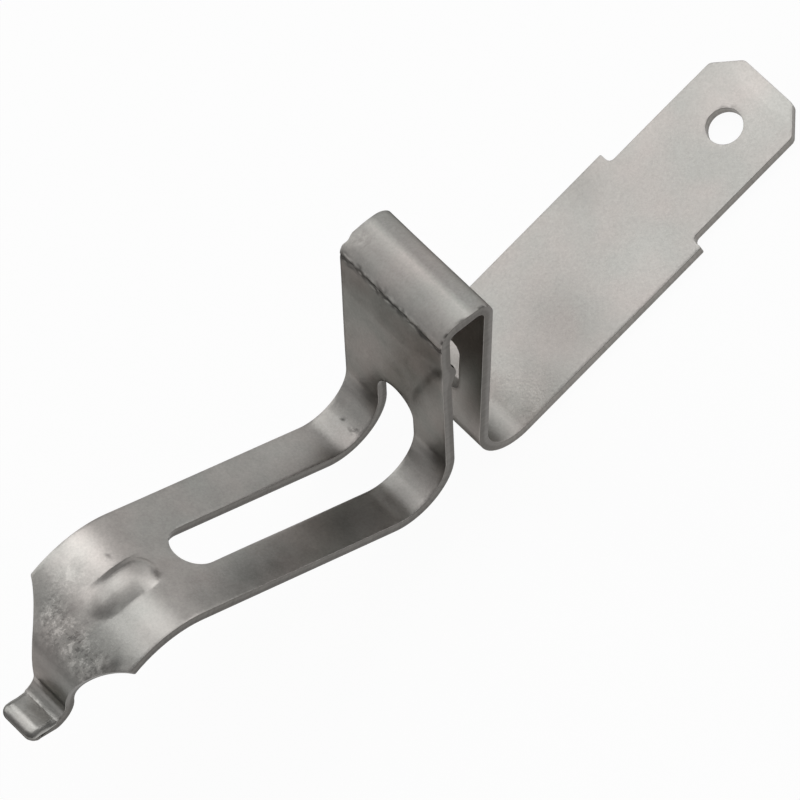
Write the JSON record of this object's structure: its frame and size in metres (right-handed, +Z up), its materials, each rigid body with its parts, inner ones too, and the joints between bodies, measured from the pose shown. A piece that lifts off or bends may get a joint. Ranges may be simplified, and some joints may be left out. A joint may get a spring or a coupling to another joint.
{
  "type": "drip tray clip",
  "caption": "Folded stainless strip clip with a flat screw-down blade, a narrow upright channel, a slotted hook and a curled front tab.",
  "frame": {"origin": "centre of the screw hole on the blade's underside", "axes": "+X along the blade toward the tongue's tip, +Y across the strip, +Z up out of the blade through the screw hole"},
  "size_m": [0.1289, 0.02, 0.0365],
  "materials": {
    "stainless_sheet": "satin cold-rolled sheet, lightly scuffed"
  },
  "bodies": {
    "root": {"drip_tray_clip": "stainless_sheet"}
  },
  "joints": []
}
